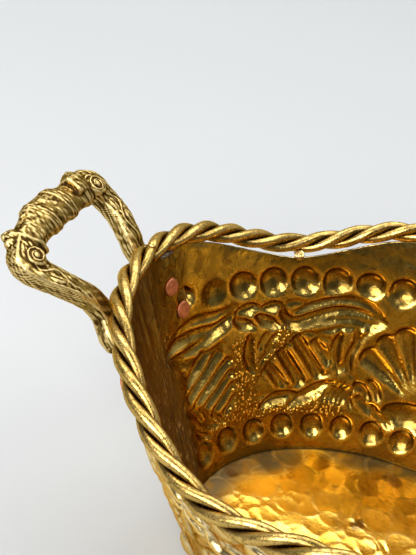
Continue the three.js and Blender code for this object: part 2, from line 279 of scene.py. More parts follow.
class Nodes:
    """A short way to write a material's node tree."""

    def __init__(self, name):
        self.material = bpy.data.materials.new(name)
        self.material.use_nodes = True
        self.tree = self.material.node_tree
        self.shader = self.tree.nodes["Principled BSDF"]
        self.place = self.add("ShaderNodeTexCoord", {})["Object"]

    def feed(self, node, inputs):
        """Sets inputs, each to a number, a colour or another node's output."""
        for key, value in inputs.items():
            if isinstance(value, bpy.types.NodeSocket):
                self.tree.links.new(value, node.inputs[key])
            else:
                node.inputs[key].default_value = value

    def add(self, kind, inputs, **settings):
        node = self.tree.nodes.new(kind)
        for key, value in settings.items():
            setattr(node, key, value)
        self.feed(node, inputs)
        return node.outputs

    def noise(self, scale, detail=3.0, rough=0.55, stretch=None, distortion=0.0):
        place = self.place
        if stretch:
            place = self.add("ShaderNodeMapping", {"Vector": place, "Scale": stretch})["Vector"]
        inputs = {"Vector": place, "Scale": scale, "Detail": detail, "Roughness": rough}
        return self.add("ShaderNodeTexNoise", {**inputs, "Distortion": distortion})["Fac"]

    def cells(self, scale):
        return self.add("ShaderNodeTexVoronoi", {"Vector": self.place, "Scale": scale})["Distance"]

    def value(self, name):
        return self.add("ShaderNodeAttribute", {}, attribute_name=name)["Fac"]

    def math(self, operation, a, b):
        return self.add("ShaderNodeMath", {0: a, 1: b}, operation=operation)[0]

    def ramp(self, value, low, high, to_low=0.0, to_high=1.0):
        inputs = {"Value": value, "From Min": low, "From Max": high, "To Min": to_low, "To Max": to_high}
        return self.add("ShaderNodeMapRange", inputs, interpolation_type="SMOOTHSTEP")["Result"]

    def mix(self, factor, a, b):
        a, b = ((*color, 1.0) if isinstance(color, tuple) else color for color in (a, b))
        return self.add("ShaderNodeMix", {"Factor": factor, "A": a, "B": b}, data_type="RGBA")["Result"]

    def bump(self, height, distance, strength, below=None):
        inputs = {"Height": height, "Distance": distance, "Strength": strength}
        if below:
            inputs["Normal"] = below
        return self.add("ShaderNodeBump", inputs)["Normal"]

    def finish(self, color, roughness, normal=None, metallic=1.0, **more):
        inputs = {"Base Color": color, "Roughness": roughness, "Metallic": metallic}
        if normal:
            inputs["Normal"] = normal
        self.feed(self.shader, {**inputs, **more})
        return self.material


# The colours are linear. Noise scales are per metre, and bump distances are in metres.

def wall_material():
    pale, deep, blotch = (0.50, 0.36, 0.10), (0.29, 0.205, 0.052), (0.24, 0.155, 0.045)
    # The second and third colours below are painted shade for the hollows and a painted highlight for the
    # raised forms.
    outside, painted_hollow_shade, raised = (0.95, 0.79, 0.47), (0.37, 0.205, 0.040), (0.88, 0.58, 0.15)
    punched, dot, speck = (0.30, 0.18, 0.035), (0.92, 0.57, 0.11), (0.26, 0.15, 0.035)
    end_dark, scoured = (0.26, 0.215, 0.145), (0.78, 0.66, 0.44)
    n = Nodes("brass_wall")
    hollow, punch, inside, end_darkening = (n.value(name) for name in ("hollow", "punch", "inside", "end_darkening"))
    patches = n.noise(24, 5, 0.62, distortion=0.6)
    blotches = n.noise(85, 4, 0.65, distortion=0.5)
    fine = n.noise(300, 3, 0.6)
    streaks = n.noise(360, 4, 0.7, stretch=(1.0, 1.0, 0.10))
    dots = n.math("MULTIPLY", n.ramp(n.cells(560), 0.50, 0.24), punch)
    color = n.mix(n.ramp(patches, 0.38, 0.62), pale, deep)
    for mask, paint in (
        (n.ramp(blotches, 0.50, 0.64, 0.0, 0.65), blotch),
        (n.ramp(inside, 0.5, 0.0, 0.0, 0.75), outside),
        # Painted shade in the chased hollows and a painted highlight on the raised forms, both led by the
        # hollow attribute.
        (n.ramp(hollow, 0.52, 0.90, 0.0, 0.62), painted_hollow_shade),
        (n.ramp(hollow, 0.46, 0.12, 0.0, 0.75), raised),
        (n.math("MULTIPLY", punch, 0.70), punched),
        (dots, dot),
        (n.ramp(fine, 0.54, 0.70, 0.0, 0.50), speck),
        # Dark streaked tone on the end walls, darker towards the bottom, with pale streak lines.
        (n.math("MULTIPLY", end_darkening, n.ramp(streaks, 0.38, 0.56, 0.45, 1.0)), end_dark),
        (n.math("MULTIPLY", end_darkening, n.ramp(streaks, 0.57, 0.64)), scoured),
    ):
        color = n.mix(mask, color, paint)
    rough = n.ramp(patches, 0.3, 0.7, 0.19, 0.29)
    rough = n.math("ADD", rough, n.ramp(blotches, 0.5, 0.7, 0.0, 0.10))
    rough = n.math("ADD", rough, n.math("MULTIPLY", end_darkening, 0.14))
    normal = n.bump(n.noise(520, 2, 0.5), 0.00010, 0.5)
    normal = n.bump(n.noise(120, 3, 0.55), 0.0016, 0.45, normal)
    normal = n.bump(n.math("MULTIPLY", streaks, end_darkening), 0.0018, 0.8, normal)
    normal = n.bump(dots, 0.0006, 0.6, normal)
    return n.finish(color, rough, normal, **{"Specular Tint": (0.88, 0.60, 0.24, 1.0)})


def base_material():
    pale, deep, tarnished = (1.0, 0.70, 0.17), (0.94, 0.58, 0.09), (0.22, 0.185, 0.12)
    edge, dull, stain, speck = (1.0, 0.86, 0.50), (0.58, 0.33, 0.05), (0.22, 0.13, 0.07), (0.38, 0.21, 0.05)
    n = Nodes("brass_base")
    tarnish = n.value("tarnish")
    patches = n.noise(26, 4, 0.6, distortion=0.6)
    color = n.mix(n.ramp(patches, 0.35, 0.65), pale, deep)
    for mask, paint in (
        (n.math("MULTIPLY", tarnish, n.ramp(patches, 0.25, 0.6, 0.65, 1.0)), tarnished),
        # Painted highlight on the rims of the hammer blows.
        (n.math("MULTIPLY", n.value("ring"), 0.30), edge),
        (n.ramp(n.noise(110, 4, 0.65), 0.50, 0.66, 0.0, 0.50), dull),
        (n.value("stain"), stain),
        (n.ramp(n.noise(330, 3, 0.6), 0.56, 0.70, 0.0, 0.40), speck),
    ):
        color = n.mix(mask, color, paint)
    rough = n.math("ADD", n.ramp(patches, 0.3, 0.7, 0.14, 0.24), n.math("MULTIPLY", tarnish, 0.20))
    normal = n.bump(n.noise(480, 2, 0.5), 0.00012, 0.5)
    lacquer = {"Specular Tint": (0.95, 0.72, 0.35, 1.0), "Coat Weight": 0.25, "Coat Roughness": 0.10}
    return n.finish(color, rough, normal, **lacquer)


def rope_material():
    pale, deep, green = (0.71, 0.488, 0.170), (0.49, 0.332, 0.102), (0.40, 0.33, 0.09)
    painted_strand_shade, pitted = (0.09, 0.048, 0.012), (0.15, 0.092, 0.036)
    n = Nodes("brass_rope")
    pits = n.noise(460, 4, 0.7)
    color = n.mix(n.ramp(n.noise(60, 4, 0.65), 0.35, 0.7), pale, deep)
    color = n.mix(n.ramp(n.noise(120, 3, 0.6), 0.54, 0.70, 0.0, 0.45), color, green)
    # Painted shade where each strand turns into the rope, led by the crown attribute.
    color = n.mix(n.ramp(n.value("crown"), 0.82, 0.18, 0.0, 0.95), color, painted_strand_shade)
    color = n.mix(n.ramp(pits, 0.53, 0.66, 0.0, 0.68), color, pitted)
    rough = n.ramp(pits, 0.4, 0.7, 0.24, 0.46)
    normal = n.bump(n.noise(90, 2, 0.5), 0.0008, 0.4, n.bump(pits, 0.00034, 0.55))
    return n.finish(color, rough, normal, **{"Specular Tint": (0.95, 0.78, 0.45, 1.0)})


def handle_material():
    pale, deep, grainy = (0.385, 0.266, 0.076), (0.205, 0.140, 0.042), (0.115, 0.068, 0.024)
    # The next two colours are painted shade for the grooves and a painted highlight for the raised edges.
    painted_hollow_shade, raised = (0.085, 0.048, 0.015), (0.80, 0.62, 0.29)
    n = Nodes("brass_cast")
    hollow = n.value("hollow")
    grain = n.noise(520, 4, 0.75)
    color = n.mix(n.ramp(n.noise(70, 4, 0.6), 0.35, 0.7), pale, deep)
    color = n.mix(n.ramp(grain, 0.48, 0.60, 0.0, 0.74), color, grainy)
    # Painted shade in the grooves and a painted highlight on the raised edges, led by the hollow attribute.
    color = n.mix(n.ramp(hollow, 0.51, 0.62), color, painted_hollow_shade)
    color = n.mix(n.ramp(hollow, 0.47, 0.36, 0.0, 0.85), color, raised)
    rough = n.ramp(grain, 0.35, 0.7, 0.32, 0.52)
    normal = n.bump(n.noise(180, 3, 0.6), 0.0010, 0.5, n.bump(grain, 0.00040, 0.6))
    return n.finish(color, rough, normal, **{"Specular Tint": (0.74, 0.54, 0.25, 1.0)})


def wire_material():
    pale, deep = (0.80, 0.62, 0.30), (0.45, 0.30, 0.12)
    n = Nodes("brass_wire")
    spots = n.noise(500, 3, 0.6)
    color = n.mix(n.ramp(spots, 0.45, 0.65), pale, deep)
    return n.finish(color, n.ramp(spots, 0.4, 0.7, 0.25, 0.40), n.bump(spots, 0.0002, 0.4))


def copper_material():
    pale, deep, speck = (0.72, 0.285, 0.15), (0.50, 0.18, 0.082), (0.30, 0.11, 0.06)
    n = Nodes("copper_rivet")
    patches = n.noise(350, 4, 0.6)
    fine = n.noise(1400, 3, 0.6)
    color = n.mix(n.ramp(patches, 0.35, 0.65), pale, deep)
    color = n.mix(n.ramp(fine, 0.58, 0.72, 0.0, 0.5), color, speck)
    rough = n.ramp(patches, 0.3, 0.7, 0.46, 0.60)
    return n.finish(color, rough, n.bump(fine, 0.0002, 0.5), metallic=0.75)


def solder_material():
    pale, deep = (0.42, 0.39, 0.33), (0.16, 0.13, 0.10)
    n = Nodes("solder")
    patches = n.noise(500, 4, 0.7)
    color = n.mix(n.ramp(patches, 0.4, 0.6), pale, deep)
    return n.finish(color, n.ramp(patches, 0.3, 0.7, 0.38, 0.6), n.bump(patches, 0.0006, 0.7))


WALL_BRASS = wall_material()
BASE_BRASS = base_material()
ROPE_BRASS = rope_material()
CAST_BRASS = handle_material()
WIRE_BRASS = wire_material()
COPPER = copper_material()
SOLDER = solder_material()


# ---- chased wall ----

WALL_COLUMNS = 900
WALL_ROWS = 150
WALL_BOTTOM = PLATE + GAP
HALF_SIDE = PERIMETER / 4

# The chased pattern, given for half of one long side: distance from its middle, then height, in mm.
# Bosses: x, z, radius across, radius up, height, power. The last two of the upper row differ: one is
# soft, and one lies partly under a rivet head.
UPPER_BOSSES = [(8.1 + 16.3 * k, 96.0, 7.3, 7.3, 4.2, 0.55) for k in range(7)]
UPPER_BOSSES += [(122.2, 96.0, 7.3, 7.3, 2.2, 1.1), (138.5, 99.9, 4.8, 4.8, 5.0, 0.5)]
LOWER_BOSSES = [(21.2 * k, 15.5, 6.7 / 0.84, 6.7, 4.0, 0.55) for k in range(8)]

# Leaves and ribbons: points, half width, height.
LEAVES = [
    # ribbon swag at the far end, four blades from one point
    ([(161, 77), (150, 83), (136, 84.5), (122, 83), (110, 85.5)], 2.9, 2.0),
    ([(161, 76), (149, 78.5), (135, 77.5), (122, 76.5), (112, 82)], 3.0, 2.9),
    ([(159, 75), (147, 71.5), (135, 72), (120, 75.5)], 2.3, 2.1),
    ([(158, 73.5), (148, 68), (138, 65), (128, 66), (120, 68.5)], 1.7, 1.7),
    # bow of four petals
    ([(112, 80), (104, 82.3), (97, 83)], 2.9, 2.7),
    ([(97, 80.5), (90, 82.5), (84, 83)], 2.5, 2.4),
    ([(113, 78), (107, 75.5), (100.5, 73)], 2.6, 2.5),
    ([(99.5, 78), (93, 75), (86.5, 72)], 2.8, 2.6),
    # ribbon towards the shell
    ([(85, 82), (82.5, 76), (77, 73), (68, 75.5), (56, 79.5), (44, 80), (31, 77)], 3.0, 3.0),
    ([(78, 79), (68, 83), (56, 86), (44, 86), (35, 82), (29, 77)], 2.0, 2.1),
    ([(66, 73), (56, 75), (46, 76), (37, 75), (31, 75.5)], 1.9, 2.0),
    ([(64, 68.5), (52, 71.5), (42, 72.5), (34, 73)], 1.3, 1.2),
    ([(63, 90.5), (50, 89), (40, 86.5), (31, 80)], 1.2, 1.0),
    # tear drop and short blades beside it
    ([(103.5, 69), (105, 58), (103, 48)], 2.8, 1.9),
    ([(99, 60), (96, 65), (92, 70)], 1.4, 1.2),
    ([(95, 59), (91, 64), (86.5, 69)], 1.4, 1.2),
    ([(99, 53), (94, 57), (89, 62)], 1.3, 1.0),
    # two long leaves and the blades at their end
    ([(99, 27.5), (90, 31), (80, 32), (70, 31)], 3.0, 2.5),
    ([(80, 27), (70, 32), (61, 36.5), (54, 40)], 3.2, 2.7),
    # column beside the shell
    ([(52, 69), (53.5, 58), (50, 46)], 2.5, 2.0),
    ([(44, 74), (42.5, 65), (45, 55), (42, 45)], 2.0, 1.7),
    ([(58, 62), (56.5, 56), (57.5, 48)], 1.4, 1.2),
    # curled leaves at the lower far corner
    ([(155, 43), (148, 38.5), (143, 31)], 2.4, 2.4),
    ([(145, 41), (140, 36), (139, 30)], 1.9, 1.8),
    ([(144, 31), (138, 29.5), (133, 26)], 2.0, 2.0),
    ([(151, 31), (147, 26), (141, 23.5)], 2.0, 1.9),
    ([(137, 34), (131, 30), (127, 26)], 1.7, 1.6),
    # leaves below the shell
    ([(39, 41), (33, 38.5), (27, 33)], 2.6, 2.6),
    ([(37, 34), (31, 31), (25, 27)], 2.2, 2.1),
    ([(31, 45), (26, 41), (22, 35)], 2.2, 2.0),
    ([(26, 31), (19, 25), (9, 21)], 2.3, 2.4),
    ([(47, 38), (42, 33), (38, 27)], 2.0, 1.8),
]
LEAVES += [([(58.5 - 3.1 * k, 30 - 0.5 * k), (51.5 - 3.1 * k, 41.5 - 0.8 * k)], 1.4, 1.6) for k in range(5)]

# Round-ended bars of the two wings: points, half width, height.
BARS = [
    ([(92, 49), (84, 39.5)], 3.9, 2.6),
    ([(84, 56), (73.5, 41)], 4.0, 3.0),
    ([(75, 63), (62, 45)], 4.2, 3.2),
    ([(65, 62), (57, 53)], 3.6, 2.6),
    ([(148, 57.5), (141, 60.5), (134, 66)], 3.2, 2.6),
    ([(150, 49), (137, 54.5), (124, 64)], 2.5, 2.5),
    ([(146, 43), (132, 49), (118, 58)], 2.4, 2.4),
    ([(140, 38.5), (128, 44), (117, 51.5)], 2.2, 2.1),
    ([(133, 34.5), (124, 39.5), (117, 45)], 2.0, 1.9),
    ([(126, 31), (121, 34), (117, 38)], 1.7, 1.6),
]

# Narrow raised lines.
LINES = [
    [(99, 44), (90, 55), (80, 62), (72, 68), (63, 66.5), (55, 62.5), (53, 53), (55.5, 45)],
    [(99, 34), (87, 36), (75, 37.5), (64, 41), (55.5, 45)],
    [(157, 72), (150.5, 65), (150, 56), (158, 47)],
    [(36, 72), (42.5, 63), (44, 52), (38.5, 43)],
    [(84, 73), (86, 79), (82, 84), (76, 85), (70, 82)],
]

SHELL_FLUTES = 8
SHELL_SPREAD = 66.0
SHELL_Z = 37.0
SHELL_R = 45.0
CURL_Z, CURL_RX, CURL_RZ, CURL_HIGH = 29.5, 19, 8.5, 4.6  # the lip below the shell
LEAF_SPREAD = 1.3
DOT_ACROSS, DOT_UP = 3.0, 2.6  # spacing of the punched dots


def along_curve(x, z, points, reach):
    """For points near a curve: how far they are from it, and how far along it, from 0 to 1."""
    curve = spline(points)
    near = np.full(x.shape, np.inf)
    where = np.zeros(x.shape)
    inside = (x > curve[:, 0].min() - reach) & (x < curve[:, 0].max() + reach)
    inside &= (z > curve[:, 1].min() - reach) & (z < curve[:, 1].max() + reach)
    px, pz = x[inside], z[inside]
    best, at = np.full(px.shape, np.inf), np.zeros(px.shape)
    count = len(curve) - 1
    for i in range(count):
        a, b = curve[i], curve[i + 1]
        d = b - a
        t = np.clip(((px - a[0]) * d[0] + (pz - a[1]) * d[1]) / (d @ d + 1e-9), 0, 1)
        dist = np.hypot(px - a[0] - t * d[0], pz - a[1] - t * d[1])
        closer = dist < best
        best[closer] = dist[closer]
        at[closer] = ((i + t) / count)[closer]
    near[inside], where[inside] = best, at
    return near, where


def leaf_height(x, z, points, half_width, high):
    near, at = along_curve(x, z, points, 1.5 * half_width + 1)
    width = LEAF_SPREAD * half_width * np.clip(np.sin(np.pi * (0.06 + 0.88 * at)), 0.05, 1) ** 0.6
    q = near / width
    body = 1.5 * high * np.clip(1 - q * q, 0, 1) ** 0.85 * np.clip(width / half_width, 0, 1)
    vein = 0.38 * high * peak(near, 0, 0.22 * half_width) * np.sin(np.pi * at)
    return np.where(q < 1, body - vein, 0)


def bar_height(x, z, points, half_width, high):
    near, at = along_curve(x, z, points, half_width + 1)
    q = near / half_width
    return 1.3 * high * np.clip(1 - q * q, 0, 1) ** 0.55 * (0.75 + 0.25 * np.sin(np.pi * at))


def line_height(x, z, points, half_width=1.15, high=1.3):
    near, _ = along_curve(x, z, points, half_width + 1)
    return high * np.clip(1 - (near / half_width) ** 2, 0, 1)


def dome(x, z, x0, z0, rx, rz, high, power):
    q = ((x - x0) / rx) ** 2 + ((z - z0) / rz) ** 2
    return high * np.clip(1 - q, 0, 1) ** power


def shell_height(x, z):
    reach = np.hypot(x, z - SHELL_Z)
    angle = np.degrees(np.arctan2(x, z - SHELL_Z))
    place = (angle + SHELL_SPREAD) * SHELL_FLUTES / (2 * SHELL_SPREAD)
    inside = (place > 0) & (place < SHELL_FLUTES)
    across = 2 * (place - np.floor(place)) - 1
    round_end = SHELL_R - 2.2 * across * across
    body = np.clip(1 - np.clip((reach - round_end + 5) / 5, 0, 1) ** 2, 0, 1) ** 0.5
    root = smoothstep(reach, 4, 26)
    flute = np.clip(1 - across * across, 0, 1) ** 0.55
    growth = 0.10 * np.sin(2 * np.pi * reach / 2.3) * smoothstep(reach, 20, 30)
    height = (0.7 + 2.9 * flute + growth) * body * root
    return np.where(inside & (reach < round_end), height, 0)


def chased(s, z):
    """Height of the chasing, outward, over the unrolled wall, and where the ground is punched."""
    sway = 0.55 * noise2(s / 19 + 40, z / 17, 5)
    rise = 0.45 * noise2(s / 21 + 90, z / 15, 6)
    x = np.abs((s + HALF_SIDE + sway) % (2 * HALF_SIDE) - HALF_SIDE)
    z = z + rise
    forms = [leaf_height(x, z, *leaf) for leaf in LEAVES]
    forms += [bar_height(x, z, *bar) for bar in BARS]
    forms += [line_height(x, z, line) for line in LINES]
    forms += [shell_height(x, z), dome(x, z, 0, CURL_Z, CURL_RX, CURL_RZ, CURL_HIGH, 0.5), 0 * x]
    relief = np.maximum.reduce(forms)
    relief = relief - 0.9 * peak(np.hypot(x / CURL_RX, (z - CURL_Z) / CURL_RZ), 1.08, 0.07)
    relief = np.maximum(relief, dome(x, z, 47.5, 50, 2.6, 3.2, 1.6, 0.62))
    covered = smoothstep(relief, 0.05, 0.5)
    for boss in UPPER_BOSSES:
        relief = np.maximum(relief, dome(x, z, *boss))
    for boss in LOWER_BOSSES:
        x0, z0, rx, rz = boss[:4]
        relief = relief - 0.35 * peak(np.hypot((x - x0) / rx, (z - z0) / rz), 1.22, 0.13)
        relief = np.maximum(relief, dome(x, z, *boss))
    ground = between(z, 20, 23, 31, 34) * between(x, 40, 46, 147, 152)
    stalk = between(x, 100, 102, 116, 118) * between(z, 22, 25, 66, 72)
    band, _ = along_curve(x, z, [(101, 48), (90, 60), (77, 71)], 9)
    ground = np.maximum(np.maximum(ground, stalk), smoothstep(band, 6, 4.5)) * (1 - covered)
    for x0 in (116.5, 110.5, 106.5):
        relief -= 0.5 * peak(x, x0, 0.8) * stalk * (1 - covered)
    row = np.floor(z / DOT_UP)
    dot_x = (x / DOT_ACROSS + 0.5 * (row % 2) + 0.12 * noise2(x / DOT_ACROSS, row, 8)) % 1 - 0.5
    dot_z = z / DOT_UP % 1 - 0.5
    dots = np.clip(1 - (dot_x**2 + dot_z**2) / 0.11, 0, 1)
    return relief + ground * (0.75 * dots - 0.3), ground


def build_wall():
    s = -PERIMETER * np.arange(WALL_COLUMNS) / WALL_COLUMNS
    theta = theta_at(s)[:, None]
    share = np.linspace(0, 1, WALL_ROWS)[None, :]
    z = WALL_BOTTOM + (sheet_top(theta) - WALL_BOTTOM) * share
    s = np.repeat(s[:, None], WALL_ROWS, 1)

    def ripple(count, y, seed):
        return noise2((s / PERIMETER % 1) * count, y, seed, count)

    relief, ground = chased(s, z)
    relief = softened(relief, 2)
    plain = smoothstep(relief, 0.6, 0.1)
    planish = ripple(round(PERIMETER / 9.0), z / 8, 21)
    fine = ripple(180, z / 3.4, 22)
    end = smoothstep(np.abs((s + HALF_SIDE) % (2 * HALF_SIDE) - HALF_SIDE), 150, 163)
    relief = relief + plain * (0.16 * planish + 0.07 * fine) + 0.42 * end * ripple(250, z / 26, 23)
    relief = relief * smoothstep(share, 0, 0.03) * smoothstep(share, 1, 0.975)
    hollow = np.clip(0.5 + 0.5 * (relief - softened(relief, 9)) / 0.75, 0, 1)
    half = DISPLAY_SHEET / 2
    z = z + smoothstep(share, 0.96, 1) * 0.10 * ripple(240, 0 * z, 25)
    outer = wall_point(theta, z, half + relief)
    inner = wall_point(theta, z, -half + relief)
    top_out, top_in = outer[:, -1:], inner[:, -1:]
    lip = []
    for k in range(1, 4):
        angle = math.pi * k / 4
        ring = (top_out + top_in) / 2 + (top_out - top_in) / 2 * math.cos(angle)
        ring[..., 2] += half * math.sin(angle)
        lip.append(ring)
    points = np.concatenate([outer, *lip, inner[:, ::-1]], 1)
    faces = grid_faces(WALL_COLUMNS, points.shape[1], wrap_rows=True, wrap_columns=True)
    mesh = mesh_of("chased_wall", points, [faces])
    none = np.zeros(relief.shape)
    # The end walls' dark tone, darker towards the bottom.
    end_darkening = end * (0.45 + 0.55 * smoothstep(z, 108, 55))
    for name, outside, edge, inside in (
        ("hollow", 1 - hollow, 0.5, hollow),
        ("punch", ground, 0, ground),
        ("inside", none, 0, none + 1),
        ("end_darkening", none, 0, end_darkening),
    ):
        strip = np.full((WALL_COLUMNS, len(lip)), edge)
        attribute(mesh, name, np.concatenate([outside, strip, inside[:, ::-1]], 1))
    add_piece(mesh, WALL_BRASS, "wall")


build_wall()


# ---- planished base ----

BASE_RINGS = 110
BASE_AROUND = 420
BLOWS, BLOW_R = 340, 7.2
STAINS = ((-14, 21, 5.0), (2, 61, 6.5), (-86, 28, 4.0), (34, -40, 5.0))  # x, y, radius


def build_base():
    """The plate as rings, from the middle of its face over the edge and back to the middle below."""
    share = np.linspace(0, 1, BASE_RINGS + 1)[1:, None] ** 0.8
    c, s = circle(BASE_AROUND)
    a, b = FOOT_A + PLATE_LIP, FOOT_B + PLATE_LIP
    x, y = a * c * share, b * s * share
    draw = np.random.default_rng(31)
    height = 0.05 * noise2(x / 12 + 60, y / 12 + 60, 33)
    ring = np.zeros(x.shape)
    for _ in range(BLOWS):
        angle, reach = draw.uniform(0, 2 * math.pi), math.sqrt(draw.uniform(0, 1)) * 0.93
        size = draw.uniform(0.75, 1.25)
        distance = np.hypot(x - a * reach * math.cos(angle), y - b * reach * math.sin(angle))
        here = distance < BLOW_R * size * 1.2
        q = distance[here] / (BLOW_R * size)
        weight = smoothstep(q, 1.14, 0.80)
        height[here] = height[here] * (1 - weight) + (-0.29 + 0.30 * q * q) * weight
        # The rim of each blow, where the material paints a highlight.
        mark = peak(q, 1, 0.09) * (0.3 + 0.7 * (size > 1.1))
        ring[here] = np.maximum(ring[here] * (1 - weight), mark)
    share = share + 0 * x
    top = PLATE - 0.12 + height * smoothstep(share, 0.985, 0.90)
    stain = np.zeros(x.shape)
    for sx, sy, radius in STAINS:
        warp = 1 + 0.5 * noise2(x / 4 + 50, y / 4 + 50, 41)
        spot = smoothstep(np.hypot(x - sx, y - sy) / (radius * warp), 1.0, 0.55)
        stain = np.maximum(stain, 0.8 * spot)
    drift = 0.10 * noise2(x / 22 + 70, y / 22 + 70, 42)
    tarnish = smoothstep(share + drift, 0.74, 0.92)

    rings = list(np.stack([x, y, top], -1))
    rings[-1] = rings[-1] * [0.996, 0.996, 1]
    for size, z in ((1.0, PLATE - 0.35), (1.0, 0.3), (0.996, 0), (0.9, 0), (0.6, 0), (0.3, 0)):
        rings.append(np.stack([a * c * size, b * s * size, np.full(BASE_AROUND, z)], -1))
    mesh = mesh_of("planished_base", *closed_skin(rings, [[0, 0, PLATE - 0.2], [0, 0, 0]]))
    for name, field, under in (("tarnish", tarnish, 1.0), ("ring", ring, 0.0), ("stain", stain, 0.0)):
        skirt = np.full((len(rings) - BASE_RINGS) * BASE_AROUND, under)
        attribute(mesh, name, np.concatenate([field.ravel(), skirt, [field[0].mean(), under]]))
    add_piece(mesh, BASE_BRASS, "base_plate")


build_base()


# ---- rope rim ----

STRAND_R = 2.5
LAY_R = 2.85
STRAND_SIDES = 18
STRAND_STEPS = 560


def rim_point(theta):
    return np.stack([RIM_A * np.cos(theta), RIM_B * np.sin(theta), rim_height(theta)], -1)


RIM_THETA = np.linspace(0, 2 * np.pi, 5761)
RIM_LENGTH = length_along(rim_point(RIM_THETA))


def rim_at(share):
    return rim_point(np.interp((share % 1) * RIM_LENGTH[-1], RIM_LENGTH, RIM_THETA))


def build_strand(index):
    spare = GAP / RIM_LENGTH[-1]
    t = np.linspace(0, 1, STRAND_STEPS)
    u = ROPE_JOINT + spare / 2 + t * (1 - spare)
    along = unit(rim_at(u + 1e-4) - rim_at(u - 1e-4))
    outward = unit(np.cross(along, [0, 0, 1]))
    turn = 2 * np.pi * index / 3 - 2 * np.pi * TURNS * u
    lay = outward * np.cos(turn)[:, None] + np.cross(along, outward) * np.sin(turn)[:, None]
    path = rim_at(u) + LAY_R * lay
    along = unit(np.gradient(path, axis=0))
    side = unit(np.cross(along, lay))
    away = np.cross(side, along)
    c, s = circle(STRAND_SIDES)
    length = t[:, None] * RIM_LENGTH[-1]
    dents = noise2(length / 7 + 20 * index + 20, 3 * s[None, :] + 9, 50 + index)
    dents = dents + 0.5 * noise2(length / 2.6 + 90, 5 * s[None, :] + 30, 60 + index)
    radius = STRAND_R * (1 + 0.022 * dents)
    end = np.minimum(t, 1 - t)[:, None] * RIM_LENGTH[-1]
    radius = radius * np.where(end < 0.8, np.sqrt(np.clip(1 - (1 - end / 0.8) ** 2 * 0.3, 0, 1)), 1)
    ring = away[:, None] * c[:, None] + side[:, None] * s[:, None]
    points = path[:, None] + radius[..., None] * ring
    name = f"strand_{index + 1}"
    mesh = mesh_of("rope_" + name, *closed_skin(points, [path[0], path[-1]]))
    # crown runs from 1 on a strand's outer face to 0 where it faces into the rope; the material paints
    # shade between the strands from it.
    crown = np.tile(c * 0.5 + 0.5, STRAND_STEPS)
    attribute(mesh, "crown", np.concatenate([crown, [0, 0]]))
    add_piece(mesh, ROPE_BRASS, "rim_" + name)


for strand in range(3):
    build_strand(strand)


# ---- wire ties ----

WIRE_R, WIRE_SIDES = 0.62, 12
TIE_UP, TIE_ACROSS = 2.7, 1.6
TIE_TURNS, TIE_PITCH, TIE_LIFT = 3.5, 1.15, 0.3


def tube(path, radius, sides):
    """A closed round tube along a path; radius is one number or one per point."""
    along = unit(np.gradient(path, axis=0))
    side = unit(np.cross(along, [0.13, 0.21, 0.97]))
    c, s = circle(sides)
    ring = side[:, None] * c[:, None] + np.cross(along, side)[:, None] * s[:, None]
    radius = np.broadcast_to(radius, len(path))
    return closed_skin(path[:, None] + radius[:, None, None] * ring)


def build_tie(name, polar):
    theta = theta_of(polar)
    edge = wall_point(np.float64(theta), sheet_top(theta), 0.0)
    up = rim_point(theta) - edge
    middle = edge + up * (0.5 - (ROPE_D / 4 - TIE_LIFT) / np.linalg.norm(up))
    up = unit(up)
    along = np.array([-RIM_A * math.sin(theta), RIM_B * math.cos(theta), 0])
    across = unit(np.cross(up, along))
    along = np.cross(across, up)
    t = np.linspace(0, 1, 140)[:, None]
    angle = 2 * np.pi * TIE_TURNS * t
    path = middle + TIE_UP * np.cos(angle) * up + TIE_ACROSS * np.sin(angle) * across
    path = path + (TIE_PITCH * TIE_TURNS * (t - 0.5) + 0.25 * np.sin(3.1 * angle)) * along
    mesh = mesh_of(f"tie_{name}", *tube(path, WIRE_R, WIRE_SIDES))
    add_piece(mesh, WIRE_BRASS, f"rim_tie_{name}")


SHOULDERS = {
    "left_rear": TROUGH_POLAR,
    "right_rear": math.pi - TROUGH_POLAR,
    "right_front": TROUGH_POLAR - math.pi,
    "left_front": -TROUGH_POLAR,
}
for tie_name, tie_polar in SHOULDERS.items():
    build_tie(tie_name, tie_polar)


# ---- handles ----

VOXEL = 0.42
LEG_WIDTH, LEG_THICK = 10.0, 9.0
ELBOW_WIDTH = 14.2
GRIP_X, GRIP_Y, GRIP_Z = -196.0, 1.5, 152.6
GRIP_TURN = -0.06
LEG_SKEW = 0.09
TILT = math.radians(27)
COLLAR_FLAT, GRIP_FLAT = 0.60, 0.56  # height over width
REAR_COLLAR_SIZE, REAR_COLLAR_SHIFT = 0.87, -1.7
PAD_WIDTH, PAD_DOWN, PAD_UP = 15.0, 15.0, 17.0
GRIP_BOW, GRIP_CREST = 0.0062, 6.5  # the grip's axis bows in, least at its crest
GRIP_LEAN, GRIP_FAN = 0.20, 0.0115  # its rings lean, and fan out along it
RING_PAIR, RINGS = 7.9, (-1.75, 0.0, 1.75)  # three rings on each half of the grip
VOLUTE_IN, VOLUTE_REACH = 8.6, 31.6
VINE_WAVE, LEAF_STEP, LEAF_START = 17.0, 8.5, 4.2  # along the leg

# The grip's own directions: in towards the pot, along the grip, and up out of the handle's plane.
ALONG = np.array([-math.sin(GRIP_TURN), math.cos(GRIP_TURN), 0.0])
IN = np.array([math.cos(TILT) * ALONG[1], -math.cos(TILT) * ALONG[0], -math.sin(TILT)])
PLANE = np.cross(IN, ALONG)


def handle_point(inward, along, above):
    return np.array([GRIP_X, GRIP_Y, GRIP_Z]) + inward * IN + along * ALONG + above * PLANE


def leg_point(x, half, z):
    return np.array([x, GRIP_Y + LEG_SKEW * (x - GRIP_X) + half, z])


